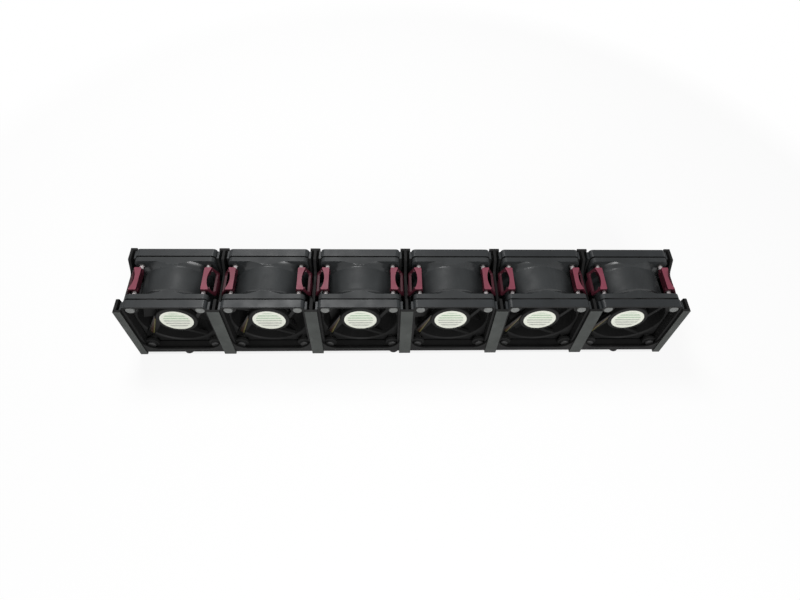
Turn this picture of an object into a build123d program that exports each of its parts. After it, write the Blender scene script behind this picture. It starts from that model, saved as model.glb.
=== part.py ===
from build123d import *
import math
import os

# Server fan cage: six lift-out fan modules stand side by side in one moulded cage.
# Millimetres. X runs along the row, -Y is the front with the hub labels, +Z is up.
# The origin is the middle of the footprint, on the surface that the cage stands on.

# Fan: a standard square axial fan
BAYS = 6
FAN = 60.0
FAN_DEPTH = 38.0
HOLE_EDGE = 5.0
FAN_FLANGE = 4.0
FAN_CORNER = 3.5
FLANGE_HOLE = 4.4
HOLE_RELIEF = 0.3
BORE_WALL = 1.6
BORE_LIP = 1.0
BARREL_WALL = 1.0
FLARE_RISE = 3.0
FLARE_RUN = 6.0
HUB = 31.0
HUB_BASE = 3.6
HUB_EDGE = 0.8
STRUTS = 4
STRUT_WIDTH = 2.6
STRUT_DEPTH = 2.6
STRUT_RECESS = 1.4
STRUT_START = 168.0
STRUT_SWEEP = 48.0
LEAD_STRUT_WIDTH = 6.4

# Motor and rotor
SHAFT = 3.0
SHAFT_FIT = 0.03
BEARING = 8.0
BEARING_WIDTH = 3.5
BEARING_FIT = 0.05
TUBE_WALL = 1.0
TUBE_CLEAR = 2.1
STATOR_STACK = 8.0
STATOR_POLES = 6
POLE_WIDTH = 3.0
POLE_SHOE = 1.6
COIL_WIDTH = 5.0
COIL_OVERHANG = 2.0
BOARD_THICK = 1.2
BOARD_CLEAR = 1.6
ROTOR_GAP = 1.6
ROTOR_RECESS = 3.5
ROTOR_STEP = 0.2
ROTOR_WALL = 1.6
ROTOR_CROWN = 1.8
ROTOR_EDGE = 1.5
AIR_GAP = 0.6
MAGNET_THICK = 1.6
MAGNET_BOND = 0.05
MAGNET_INSET = 1.9
SHAFT_BOSS = 8.0
SHAFT_BOSS_LENGTH = 4.0
BLADES = 5
BLADE_TIP_GAP = 0.5
BLADE_MARGIN = 1.0
BLADE_THICK = 1.7
BLADE_ROOT_SWEEP = 13.0
BLADE_TIP_SWEEP = 30.0
BLADE_CAMBER = 2.4
CLOCKING = 23.0

# Rubber isolators between fan and carrier
ISOLATOR_GAP = 1.2
ISOLATOR_HEAD = 6.6
ISOLATOR_HEAD_THICK = 2.0
ISOLATOR_HEAD_EDGE = 0.7
ISOLATOR_NECK = 3.6
ISOLATOR_COLLAR = 6.4
ISOLATOR_BARB = 5.4
ISOLATOR_BARB_LENGTH = 1.2
ISOLATOR_TAIL = 3.0
ISOLATOR_FIT = 0.1

# Carrier that holds one fan
RIM_DEPTH = 6.6
RIM_WALL = 1.6
RIM_CORNER = 3.0
RIM_FLOOR = 0.4
EAR = 11.0
EAR_THICK = 2.0
EAR_RECESS = 2.2
SIDE_GAP = 0.3
SIDE_WALL = 1.6
SIDE_WALL_DROP = 3.0
SIDE_WALL_DIP = 23.0
SIDE_WALL_DIP_LENGTH = 30.0
SIDE_WALL_DIP_SLOPE = 5.0
SIDE_WALL_RADIUS = 3.0
TONGUE_REACH = 1.8
TONGUE_DEPTH = 4.0
TONGUE_LIFT = 3.0
TONGUE_DROP = 18.0

# Cage
RUN_GAP = 0.3
WEB = 2.0
POST_FLANGE = 2.0
FRONT_STRIP = 9.0
REAR_STRIP = 7.6
REAR_GAP = 1.0
POST_BELOW = 2.8
FRONT_POST = 12.0
REAR_POST = 11.0
SADDLE_DROP = 11.0
SADDLE_SLOPE = 6.0
SADDLE_RADIUS = 5.0
SADDLE_LIP = 1.5
POST_LEAN = 1.5
PEG = 8.0
PEG_LENGTH = 3.0
PEG_INSET = 0.6
PEG_SPAN = 346.0
PEG_MIDDLE = -9.0
RAIL_THICK = 1.4
RAIL_DEPTH = 9.0
SILL_STEP = 0.6
SILL_HEIGHT = 4.6
GUSSET_RADIUS = 12.0

# Latches, measured from their pivot on the tails of the upper isolators
LATCH_LENGTH = 20.3
LATCH_INNER = 1.7
LATCH_OUTER = 3.6
LATCH_RISE = 3.8
LATCH_PLATE = 1.6
LATCH_SKIRT = 1.6
LATCH_SKIRT_DROP = 3.0
LATCH_WAIST = 2.0
LATCH_CORNER = 1.0
PIVOT_BOSS = 4.8
PIVOT_BOSS_LENGTH = 3.2
PIVOT_FIT = 0.05
PIVOT_DEPTH = 2.2
PIVOT_END = 0.3
LOOP_BAR = 1.3
LOOP_DROP = 4.3
LOOP_WALL = 1.3
LOOP_RADIUS = 1.8
HOOK_WIDTH = 10.0
HOOK_THICK = 1.2
HOOK_DROP = 14.0
HOOK_NIB = 0.6
HOOK_NIB_HEIGHT = 2.0
HOOK_ROOM = 1.2

# Plug and leads
LEADS = 4
LEAD = 1.1
LEAD_SPACING = 1.5
LEAD_ROOM = 0.35
LEAD_BEND = 1.3
LEAD_PIN_PITCH = 3.0
LEAD_SEAT = 0.1
PLUG_WIDTH = 8.8
PLUG_LENGTH = 13.0
PLUG_ROOM = 1.7
PLUG_FOOT = 0.6
PLUG_EDGE = 0.6
PLUG_POCKET = 4.0
PLUG_SLOT = 1.6

# Sizes that follow from those above
HOLE_PITCH = FAN - 2 * HOLE_EDGE
HOLE = HOLE_PITCH / 2
BORE = FAN - 2 * BORE_WALL
FAN_FRONT = -FAN_DEPTH / 2
FAN_REAR = FAN_DEPTH / 2
RIM_HALF = FAN / 2 + SIDE_GAP
RIM_TOP = FAN / 2
RIM_FOOT = -FAN / 2 - RIM_FLOOR
REAR_RIM_FACE = FAN_REAR + ISOLATOR_GAP
REAR_RIM_BACK = REAR_RIM_FACE + RIM_DEPTH
FRONT_RIM_FACE = -REAR_RIM_BACK
EAR_FACE = FRONT_RIM_FACE + EAR_RECESS
EAR_BACK = EAR_FACE + EAR_THICK
SIDE_WALL_TOP = RIM_TOP - SIDE_WALL_DROP
WALL_OUTER = RIM_HALF + SIDE_WALL
TONGUE_OUTER = WALL_OUTER + TONGUE_REACH
WEB_FACE = TONGUE_OUTER + RUN_GAP
PITCH = 2 * WEB_FACE + WEB
CAGE_WIDTH = BAYS * PITCH + WEB
FRONT_SETBACK = POST_FLANGE + RUN_GAP
REAR_SETBACK = POST_FLANGE + REAR_GAP
CAGE_DEPTH = FRONT_SETBACK + REAR_RIM_BACK - FRONT_RIM_FACE + REAR_SETBACK
CAGE_FRONT = -CAGE_DEPTH / 2
CAGE_REAR = CAGE_DEPTH / 2
FAN_Y = CAGE_FRONT + FRONT_SETBACK - FRONT_RIM_FACE
RAIL_TOP = PEG_LENGTH + RAIL_THICK
FAN_Z = RAIL_TOP - RIM_FOOT
POST_TOP = FAN_Z + FAN / 2 - POST_BELOW
SADDLE = POST_TOP - SADDLE_DROP
BARREL = BORE / 2 + BARREL_WALL
FLANGE_INNER = FAN_DEPTH / 2 - FAN_FLANGE
TUBE = BEARING / 2 + BEARING_FIT + TUBE_WALL
HUB_BACK = FAN_FRONT + HUB_BASE
ROTOR_FRONT = HUB_BACK + ROTOR_GAP
ROTOR_REAR = FAN_REAR - ROTOR_RECESS
TUBE_END = ROTOR_REAR - ROTOR_CROWN - SHAFT_BOSS_LENGTH - TUBE_CLEAR
TUBE_LENGTH = TUBE_END - HUB_BACK
STATOR_MIDDLE = (HUB_BACK + TUBE_END) / 2
ROTOR_HUB = HUB - 2 * ROTOR_STEP
CUP = ROTOR_HUB / 2 - ROTOR_WALL
MAGNET_INNER = CUP - MAGNET_BOND - MAGNET_THICK
STATOR = MAGNET_INNER - AIR_GAP
LATCH_HALF = LATCH_LENGTH / 2
HOOK_TIP = WEB_FACE - RUN_GAP - HOLE
LEAD_RADIUS = BARREL + LEAD / 2 + 2 * LEAD_ROOM
LEAD_ANGLE = STRUT_START + STRUT_SWEEP
LEAD_Y = FAN_FRONT + STRUT_RECESS - LEAD / 2
NOTCH_WIDTH = (LEADS - 1) * LEAD_SPACING + LEAD + 2 * LEAD_ROOM


def facing(y):
    """Plane across the fan axis at depth y, with X to the right and Z up."""
    return Plane.XZ.offset(-y)


def polar(radius, angle):
    """Point at an angle round the fan axis, as X and Z."""
    return radius * math.cos(math.radians(angle)), radius * math.sin(math.radians(angle))


# Cage: dividers, posts, sills, floor rails and locating pegs in one moulding
web_outline = [
    (CAGE_FRONT, 0),
    (CAGE_FRONT, POST_TOP),
    (CAGE_FRONT + FRONT_POST, POST_TOP),
    (CAGE_FRONT + FRONT_POST + POST_LEAN, SADDLE),
    (CAGE_REAR - REAR_POST - SADDLE_SLOPE, SADDLE),
    (CAGE_REAR - REAR_POST, POST_TOP),
    (CAGE_REAR, POST_TOP),
    (CAGE_REAR, 0),
]
hook_window_z = FAN_Z + HOLE - HOOK_DROP + HOOK_NIB_HEIGHT / 2
with BuildPart() as fan_cage:
    with BuildSketch(Plane.YZ.offset(-CAGE_WIDTH / 2)) as web:
        with BuildLine():
            Polyline(web_outline, close=True)
        make_face()
        saddle_floor = web.vertices().group_by(Axis.Y)[1]
        fillet(saddle_floor, SADDLE_RADIUS)
        saddle_lips = web.vertices().group_by(Axis.Y)[-1].sort_by(Axis.X)[1:3]
        fillet(saddle_lips, SADDLE_LIP)
        with Locations((FAN_Y, hook_window_z)):
            Rectangle(HOOK_WIDTH + 2 * HOOK_ROOM, HOOK_NIB_HEIGHT + 2 * HOOK_ROOM, mode=Mode.SUBTRACT)
    extrude(amount=WEB)
    first_web = fan_cage.part
    for divider in range(1, BAYS + 1):
        add(first_web.moved(Location((divider * PITCH, 0, 0))))
    with BuildSketch() as posts:
        with Locations((0, CAGE_FRONT + POST_FLANGE / 2)):
            with GridLocations(PITCH, 0, BAYS + 1, 1):
                Rectangle(FRONT_STRIP, POST_FLANGE)
        with Locations((0, CAGE_REAR - POST_FLANGE / 2)):
            with GridLocations(PITCH, 0, BAYS + 1, 1):
                Rectangle(REAR_STRIP, POST_FLANGE)
        Rectangle(CAGE_WIDTH, CAGE_DEPTH, mode=Mode.INTERSECT)
    extrude(amount=POST_TOP)
    for sill_y, strip in ((CAGE_FRONT + SILL_STEP, FRONT_STRIP), (CAGE_REAR - POST_FLANGE, REAR_STRIP)):
        with BuildSketch(facing(sill_y)) as sill:
            with Locations((0, PEG_LENGTH)):
                Rectangle(CAGE_WIDTH - WEB, SILL_HEIGHT + GUSSET_RADIUS, align=(Align.CENTER, Align.MIN))
            with Locations((0, PEG_LENGTH + SILL_HEIGHT + 2 * GUSSET_RADIUS)):
                with GridLocations(PITCH, 0, BAYS, 1):
                    RectangleRounded(PITCH - strip, 4 * GUSSET_RADIUS, GUSSET_RADIUS, mode=Mode.SUBTRACT)
        extrude(amount=SILL_STEP - POST_FLANGE)
    with BuildSketch(Plane.XY.offset(PEG_LENGTH)) as rails:
        with GridLocations(0, CAGE_DEPTH - 2 * POST_FLANGE - RAIL_DEPTH, 1, 2):
            Rectangle(CAGE_WIDTH - WEB, RAIL_DEPTH)
    extrude(amount=RAIL_THICK)
    with BuildSketch() as pegs:
        with Locations((0, CAGE_FRONT + PEG_INSET + PEG / 2)):
            with Locations((-PEG_SPAN / 2, 0), (PEG_MIDDLE, 0), (PEG_SPAN / 2, 0)):
                Circle(PEG / 2)
    extrude(amount=PEG_LENGTH)

# Carrier: two rims joined by side walls, guide tongues on the outside
wall_outline = [
    (FRONT_RIM_FACE, RIM_FOOT),
    (FRONT_RIM_FACE, SIDE_WALL_TOP),
    (-SIDE_WALL_DIP_LENGTH / 2 - SIDE_WALL_DIP_SLOPE, SIDE_WALL_TOP),
    (-SIDE_WALL_DIP_LENGTH / 2, SIDE_WALL_TOP - SIDE_WALL_DIP),
    (SIDE_WALL_DIP_LENGTH / 2, SIDE_WALL_TOP - SIDE_WALL_DIP),
    (SIDE_WALL_DIP_LENGTH / 2 + SIDE_WALL_DIP_SLOPE, SIDE_WALL_TOP),
    (REAR_RIM_BACK, SIDE_WALL_TOP),
    (REAR_RIM_BACK, RIM_FOOT),
]
tongue_height = RIM_TOP - TONGUE_DROP - RIM_FOOT - TONGUE_LIFT
tongue_back = CAGE_REAR - POST_FLANGE - RUN_GAP - FAN_Y
with BuildPart() as carrier:
    for rim_y in (FRONT_RIM_FACE, REAR_RIM_FACE):
        with BuildSketch(facing(rim_y)) as rim:
            with Locations((0, (RIM_TOP + RIM_FOOT) / 2)):
                RectangleRounded(2 * RIM_HALF, RIM_TOP - RIM_FOOT, RIM_CORNER)
                RectangleRounded(
                    2 * (RIM_HALF - RIM_WALL),
                    RIM_TOP - RIM_FOOT - 2 * RIM_WALL,
                    RIM_CORNER - RIM_WALL / 2,
                    mode=Mode.SUBTRACT,
                )
        extrude(amount=-RIM_DEPTH)
    for ear_y in (EAR_FACE, -EAR_BACK):
        with BuildSketch(facing(ear_y)) as ears:
            with GridLocations(HOLE_PITCH, HOLE_PITCH, 2, 2):
                Circle(EAR / 2)
            with Locations((0, (RIM_TOP + RIM_FOOT) / 2)):
                RectangleRounded(2 * RIM_HALF, RIM_TOP - RIM_FOOT, RIM_CORNER, mode=Mode.INTERSECT)
            with GridLocations(HOLE_PITCH, HOLE_PITCH, 2, 2):
                Circle((ISOLATOR_NECK + ISOLATOR_FIT) / 2, mode=Mode.SUBTRACT)
        extrude(amount=-EAR_THICK)
    with BuildSketch(Plane.YZ.offset(RIM_HALF), Plane.YZ.offset(-WALL_OUTER)) as walls:
        with BuildLine():
            Polyline(wall_outline, close=True)
        make_face()
        fillet(walls.vertices().group_by(Axis.Y)[1], SIDE_WALL_RADIUS)
    extrude(amount=SIDE_WALL)
    with BuildSketch(Plane.XY.offset(RIM_FOOT + TONGUE_LIFT)) as tongues:
        tongue_x = WALL_OUTER + TONGUE_REACH / 2
        with Locations((0, FRONT_RIM_FACE + TONGUE_DEPTH / 2), (0, tongue_back - TONGUE_DEPTH / 2)):
            with GridLocations(2 * tongue_x, 0, 2, 1):
                Rectangle(TONGUE_REACH, TONGUE_DEPTH)
    extrude(amount=tongue_height)

# Fan housing: flared barrel trimmed to the square, flanges, hub base on swept struts
with BuildPart() as fan_housing:
    with BuildSketch() as barrel:
        with BuildLine():
            waist = Line((BARREL, FLARE_RUN - FLANGE_INNER), (BARREL, FLANGE_INNER - FLARE_RUN))
            rear_flare = TangentArc(waist @ 1, (BARREL + FLARE_RISE, FLANGE_INNER), tangent=(0, 1))
            front_flare = TangentArc(waist @ 0, (BARREL + FLARE_RISE, -FLANGE_INNER), tangent=(0, -1))
            Polyline(rear_flare @ 1, (0, FLANGE_INNER), (0, -FLANGE_INNER), front_flare @ 1)
        make_face()
    revolve(axis=Axis.Y)
    with BuildSketch(Plane.XZ) as square:
        RectangleRounded(FAN, FAN, FAN_CORNER)
    extrude(amount=FAN_DEPTH / 2, both=True, mode=Mode.INTERSECT)
    for flange_y in (FAN_FRONT, FLANGE_INNER):
        with BuildSketch(facing(flange_y)) as flange:
            RectangleRounded(FAN, FAN, FAN_CORNER)
        extrude(amount=-FAN_FLANGE)
    with BuildSketch(Plane.XZ) as bore:
        Circle(BORE / 2)
        with GridLocations(HOLE_PITCH, HOLE_PITCH, 2, 2):
            Circle(FLANGE_HOLE / 2)
    extrude(amount=FAN_DEPTH / 2, both=True, mode=Mode.SUBTRACT)
    with BuildSketch(Plane.XZ) as barb_reliefs:
        with GridLocations(HOLE_PITCH, HOLE_PITCH, 2, 2):
            Circle(ISOLATOR_BARB / 2 + HOLE_RELIEF)
    extrude(amount=FLANGE_INNER, both=True, mode=Mode.SUBTRACT)
    round_edges = fan_housing.edges().filter_by(GeomType.CIRCLE)
    bore_lips = round_edges.filter_by(lambda edge: math.isclose(edge.radius, BORE / 2))
    chamfer(bore_lips, BORE_LIP)
    with BuildSketch(facing(FAN_FRONT + STRUT_RECESS)) as struts:
        for strut in range(STRUTS):
            start = STRUT_START + strut * 360 / STRUTS
            root = Vector(*polar(HUB / 2 - STRUT_WIDTH, start))
            tip = Vector(*polar(BARREL, start + STRUT_SWEEP))
            along = tip - root
            width = LEAD_STRUT_WIDTH if strut == 0 else STRUT_WIDTH
            heading = math.degrees(math.atan2(along.Y, along.X))
            with Locations(Location((root.X, root.Y, 0), (0, 0, heading))):
                Rectangle(along.length + STRUT_WIDTH, width, align=(Align.MIN, Align.CENTER))
        Circle(BORE / 2 + BARREL_WALL / 2, mode=Mode.INTERSECT)
    extrude(amount=-STRUT_DEPTH)
    with BuildSketch(facing(FAN_FRONT)) as hub:
        Circle(HUB / 2)
    extrude(amount=-HUB_BASE)
    with BuildSketch(facing(HUB_BACK - BOARD_CLEAR)) as board_seat:
        Circle(CUP)
        Circle(TUBE, mode=Mode.SUBTRACT)
    extrude(amount=-BOARD_CLEAR, mode=Mode.SUBTRACT)
    with BuildSketch(facing(HUB_BACK)) as tube:
        Circle(TUBE)
    extrude(amount=-TUBE_LENGTH)
    with BuildSketch(facing(HUB_BACK)) as tube_bore:
        Circle(BEARING / 2 + BEARING_FIT)
    extrude(amount=-TUBE_LENGTH, mode=Mode.SUBTRACT)
    front_edges = fan_housing.edges().filter_by(GeomType.CIRCLE).group_by(Axis.Y)[0]
    fillet(front_edges.filter_by(lambda edge: math.isclose(edge.radius, HUB / 2)), HUB_EDGE)
    with BuildSketch(facing(FAN_FRONT)) as lead_notch:
        leads_turn = Vector(*polar(LEAD_RADIUS, LEAD_ANGLE))
        leads_run = leads_turn - Vector(*polar(HUB / 2, STRUT_START))
        heading = math.degrees(math.atan2(leads_run.Y, leads_run.X))
        with Locations(Location((leads_turn.X, leads_turn.Y, 0), (0, 0, heading))):
            Rectangle(NOTCH_WIDTH + 2 * LEAD_SPACING, NOTCH_WIDTH)
        Circle(BORE / 2 - BARREL_WALL, mode=Mode.SUBTRACT)
    extrude(amount=-FAN_FLANGE, mode=Mode.SUBTRACT)
    with BuildSketch(facing(-FLANGE_INNER)) as lead_groove:
        groove_start = LEAD_RADIUS - LEAD / 2 - LEAD_ROOM
        with PolarLocations(groove_start + FLARE_RISE / 2, 1, start_angle=LEAD_ANGLE):
            Rectangle(FLARE_RISE, NOTCH_WIDTH)
    extrude(amount=-FLARE_RUN, mode=Mode.SUBTRACT)

# Impeller: five swept blades on a hub cup that opens towards the struts
blade_front = ROTOR_FRONT + BLADE_MARGIN
blade_rear = ROTOR_REAR - ROTOR_EDGE - BLADE_MARGIN
blade_tip = BORE / 2 - BLADE_TIP_GAP
with BuildPart() as blade:
    for section_z, blade_sweep in (
        (CUP - BLADE_CAMBER, BLADE_ROOT_SWEEP),
        (BARREL, BLADE_TIP_SWEEP),
    ):
        with BuildSketch(Plane.XY.offset(section_z)) as section:
            with BuildLine():
                lead_edge = (-blade_sweep / 2, blade_front)
                trail_edge = (blade_sweep / 2, blade_rear)
                for bow in (BLADE_CAMBER, BLADE_CAMBER + BLADE_THICK):
                    SagittaArc(lead_edge, trail_edge, bow)
            make_face()
    loft(ruled=True)
with BuildPart() as impeller:
    for turn in range(BLADES):
        add(blade.part.rotate(Axis.Y, turn * 360 / BLADES))
    with BuildSketch(Plane.XZ) as swept_round:
        Circle(blade_tip)
    extrude(amount=FAN_DEPTH / 2, both=True, mode=Mode.INTERSECT)
    with BuildSketch(facing(ROTOR_FRONT)) as cup:
        Circle(ROTOR_HUB / 2)
    extrude(amount=ROTOR_FRONT - ROTOR_REAR)
    with BuildSketch(facing(ROTOR_FRONT)) as cup_hollow:
        Circle(CUP)
    extrude(amount=ROTOR_FRONT - ROTOR_REAR + ROTOR_CROWN, mode=Mode.SUBTRACT)
    crown_edge = impeller.faces().sort_by(Axis.Y)[-1].edges().filter_by(GeomType.CIRCLE)
    fillet(crown_edge, ROTOR_EDGE)
    with BuildSketch(facing(ROTOR_REAR - ROTOR_CROWN - SHAFT_BOSS_LENGTH)) as boss:
        Circle(SHAFT_BOSS / 2)
    extrude(amount=-SHAFT_BOSS_LENGTH)
    with BuildSketch(facing(ROTOR_REAR - ROTOR_CROWN - SHAFT_BOSS_LENGTH)) as boss_bore:
        Circle(SHAFT / 2)
    extrude(amount=-SHAFT_BOSS_LENGTH, mode=Mode.SUBTRACT)

# Shaft, pressed into the impeller, and the magnet ring inside its cup
with BuildPart() as shaft:
    with BuildSketch(facing(HUB_BACK + RUN_GAP)) as shaft_round:
        Circle(SHAFT / 2)
    extrude(amount=HUB_BACK + RUN_GAP - ROTOR_REAR + ROTOR_CROWN)
with BuildPart() as magnet:
    with BuildSketch(facing(ROTOR_FRONT + MAGNET_INSET)) as magnet_ring:
        Circle(CUP - MAGNET_BOND)
        Circle(MAGNET_INNER, mode=Mode.SUBTRACT)
    extrude(amount=ROTOR_FRONT + MAGNET_INSET - STATOR_MIDDLE - STATOR_STACK)

# Motor: wound stator on the bearing tube, two bearings inside it, circuit board in the hub base
pole_length = STATOR - TUBE - BEARING_FIT
with BuildPart() as stator:
    with BuildSketch(facing(STATOR_MIDDLE - STATOR_STACK / 2)) as stack:
        Circle(STATOR)
        Circle(STATOR - POLE_SHOE, mode=Mode.SUBTRACT)
        with PolarLocations(STATOR, STATOR_POLES, start_angle=180 / STATOR_POLES):
            Rectangle(3 * POLE_SHOE, POLE_WIDTH / 2, mode=Mode.SUBTRACT)
        with PolarLocations(STATOR - POLE_SHOE / 2, STATOR_POLES):
            Rectangle(pole_length, POLE_WIDTH, align=(Align.MAX, Align.CENTER))
        Circle(TUBE + BEARING_FIT + POLE_SHOE)
        Circle(TUBE + BEARING_FIT, mode=Mode.SUBTRACT)
    extrude(amount=-STATOR_STACK)
    with BuildSketch(facing(STATOR_MIDDLE - STATOR_STACK / 2 - COIL_OVERHANG)) as coils:
        with PolarLocations(TUBE + BEARING_FIT + POLE_SHOE, STATOR_POLES):
            Rectangle(pole_length - 2 * POLE_SHOE, COIL_WIDTH, align=(Align.MIN, Align.CENTER))
    extrude(amount=-STATOR_STACK - 2 * COIL_OVERHANG)
with BuildPart() as board:
    with BuildSketch(facing(HUB_BACK - BOARD_CLEAR)) as board_disc:
        Circle(CUP - BEARING_FIT)
        Circle(TUBE + BEARING_FIT, mode=Mode.SUBTRACT)
    extrude(amount=-BOARD_THICK)
with BuildPart() as bearing:
    with BuildSketch(facing(0)) as bearing_ring:
        Circle(BEARING / 2)
        Circle(SHAFT / 2 + SHAFT_FIT, mode=Mode.SUBTRACT)
    extrude(amount=-BEARING_WIDTH)
front_bearing = bearing.part.moved(Location((0, HUB_BACK, 0)))
rear_bearing = bearing.part.moved(Location((0, TUBE_END - BEARING_WIDTH, 0)))

# Isolator: head, neck through the carrier ear, collar, neck through the fan flange, barb and tail
tail_end = PIVOT_DEPTH - PIVOT_END - LATCH_HALF
isolator_steps = [
    (ISOLATOR_NECK / 2, EAR_FACE, EAR_BACK),
    (ISOLATOR_COLLAR / 2, EAR_BACK, FAN_FRONT),
    ((FLANGE_HOLE - ISOLATOR_FIT) / 2, FAN_FRONT, -FLANGE_INNER),
    (ISOLATOR_BARB / 2, -FLANGE_INNER, ISOLATOR_BARB_LENGTH - FLANGE_INNER),
    (ISOLATOR_TAIL / 2, ISOLATOR_BARB_LENGTH - FLANGE_INNER, tail_end),
]
with BuildPart() as isolator:
    with BuildSketch(facing(EAR_FACE)) as head:
        Circle(ISOLATOR_HEAD / 2)
    extrude(amount=ISOLATOR_HEAD_THICK)
    fillet(isolator.faces().sort_by(Axis.Y)[0].edges(), ISOLATOR_HEAD_EDGE)
    for step_radius, step_start, step_end in isolator_steps:
        with BuildSketch(facing(step_start)) as step:
            Circle(step_radius)
        extrude(amount=step_start - step_end)
rear_isolator = isolator.part.mirror(Plane.XZ)

# Right latch about its pivot: top plate, skirt, sloping finger loop, hook and pivot bosses
loop_face = HOOK_TIP - HOOK_NIB
plate_under = LATCH_RISE - LATCH_PLATE
skirt_face = LATCH_SKIRT - LATCH_INNER
bar_top = LOOP_BAR - LOOP_DROP
latch_profile = [
    (-LATCH_INNER, -LATCH_SKIRT_DROP),
    (-LATCH_INNER, LATCH_RISE),
    (LATCH_OUTER, LATCH_RISE),
    (loop_face, -LOOP_DROP),
    (loop_face - LOOP_BAR, -LOOP_DROP - LOOP_BAR / 2),
    (LATCH_OUTER - LATCH_PLATE / 2, plate_under),
    (skirt_face, plate_under),
    (skirt_face, -LATCH_SKIRT_DROP),
]
hook_profile = [
    (loop_face - HOOK_THICK, -LOOP_DROP),
    (loop_face, -LOOP_DROP),
    (loop_face, HOOK_NIB_HEIGHT - HOOK_DROP),
    (HOOK_TIP, HOOK_NIB_HEIGHT - HOOK_DROP),
    (loop_face, -HOOK_DROP),
    (loop_face - HOOK_THICK, -HOOK_DROP),
]
with BuildPart() as latch:
    with BuildSketch(facing(-LATCH_HALF)) as profile:
        with BuildLine():
            Polyline(latch_profile, close=True)
        make_face()
    extrude(amount=-LATCH_LENGTH)
    fillet(latch.edges().filter_by(Axis.Z).group_by(Axis.X)[0], LATCH_CORNER)
    with BuildSketch(Plane.XY.offset(LATCH_RISE)) as waist:
        with BuildLine():
            waist_arc = ThreePointArc(
                (LATCH_OUTER, LOOP_WALL - LATCH_HALF),
                (LATCH_OUTER - LATCH_WAIST, 0),
                (LATCH_OUTER, LATCH_HALF - LOOP_WALL),
            )
            Polyline(
                waist_arc @ 1,
                (loop_face, LATCH_HALF - LOOP_WALL),
                (loop_face, LOOP_WALL - LATCH_HALF),
                waist_arc @ 0,
            )
        make_face()
    extrude(amount=-LATCH_PLATE, mode=Mode.SUBTRACT)
    with BuildSketch(Plane.YZ.offset(skirt_face)) as loop_hole:
        with Locations((0, (plate_under + bar_top) / 2)):
            RectangleRounded(LATCH_LENGTH - 2 * LOOP_WALL, plate_under - bar_top, LOOP_RADIUS)
    extrude(amount=loop_face - skirt_face, mode=Mode.SUBTRACT)
    with BuildSketch(facing(-HOOK_WIDTH / 2)) as hook:
        with BuildLine():
            Polyline(hook_profile, close=True)
        make_face()
    extrude(amount=-HOOK_WIDTH)
    for boss_y, hole_y in (
        (-LATCH_HALF, -LATCH_HALF),
        (LATCH_HALF - PIVOT_BOSS_LENGTH, LATCH_HALF - PIVOT_DEPTH),
    ):
        with BuildSketch(facing(boss_y)) as pivot_boss:
            Circle(PIVOT_BOSS / 2)
        extrude(amount=-PIVOT_BOSS_LENGTH)
        with BuildSketch(facing(hole_y)) as pivot_hole:
            Circle(ISOLATOR_TAIL / 2 + PIVOT_FIT)
        extrude(amount=-PIVOT_DEPTH, mode=Mode.SUBTRACT)

# Plug in the lower left corner of the fan, facing down, and the leads that run to it from the hub
plug_top = -math.sqrt((BARREL + PLUG_ROOM) ** 2 - (RIM_HALF - PLUG_WIDTH) ** 2)
plug_foot = PLUG_FOOT - FAN_Z
plug_middle = PLUG_WIDTH / 2 - RIM_HALF
with BuildPart() as plug:
    with BuildSketch(Plane.XY.offset(plug_foot)) as plug_body:
        with Locations((plug_middle, 0)):
            Rectangle(PLUG_WIDTH, PLUG_LENGTH)
    extrude(amount=plug_top - plug_foot)
    chamfer(plug.edges().filter_by(Axis.Z).group_by(Axis.X)[-1], PLUG_EDGE)
    with BuildSketch(Plane.XY.offset(plug_foot)) as plug_slots:
        with Locations((plug_middle, 0)):
            with GridLocations(0, LEAD_PIN_PITCH, 1, LEADS):
                Rectangle(PLUG_WIDTH / 2, PLUG_SLOT)
    extrude(amount=PLUG_POCKET, mode=Mode.SUBTRACT)
leads = []
for lead in range(LEADS):
    place = lead - (LEADS - 1) / 2
    hub_seat = HUB / 2 + LEAD / 2 + LEAD_SEAT
    hub_x, hub_z = polar(hub_seat, STRUT_START + math.degrees(place * LEAD_SPACING / hub_seat))
    turn_x, turn_z = polar(LEAD_RADIUS, LEAD_ANGLE + math.degrees(place * LEAD_SPACING / LEAD_RADIUS))
    pin_y = place * LEAD_PIN_PITCH
    with BuildPart() as lead_wire:
        with BuildLine() as route:
            FilletPolyline(
                (hub_x, LEAD_Y, hub_z),
                (turn_x, LEAD_Y, turn_z),
                (turn_x, pin_y, turn_z),
                (turn_x, pin_y, plug_top),
                radius=LEAD_BEND,
            )
        with BuildSketch(Plane(origin=route.line @ 0, z_dir=route.line % 0)) as lead_section:
            Circle(LEAD / 2)
        sweep()
    leads.append(lead_wire.part)

# Each module's pieces, placed in their bays and written one file per node
corners = [(x, z) for x in (-HOLE, HOLE) for z in (-HOLE, HOLE)]
isolator_ends = (isolator.part, rear_isolator)
module_isolators = [end.moved(Location((x, 0, z))) for end in isolator_ends for x, z in corners]
left_latch = latch.part.mirror(Plane.YZ).moved(Location((-HOLE, 0, HOLE)))
right_latch = latch.part.moved(Location((HOLE, 0, HOLE)))
still_pieces = {
    "carrier": [carrier.part],
    "fan_housing": [fan_housing.part],
    "motor": [stator.part, board.part, front_bearing, rear_bearing],
    "isolators": module_isolators,
    "latch_left": [left_latch],
    "latch_right": [right_latch],
    "plug_and_leads": [plug.part, *leads],
}
turning_pieces = {
    "impeller": [impeller.part],
    "shaft_and_magnet": [shaft.part, magnet.part],
}
os.makedirs("parts", exist_ok=True)
fan_cage.part.label = "fan_cage"
export_step(fan_cage.part, "parts/fan_cage.step")
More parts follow.
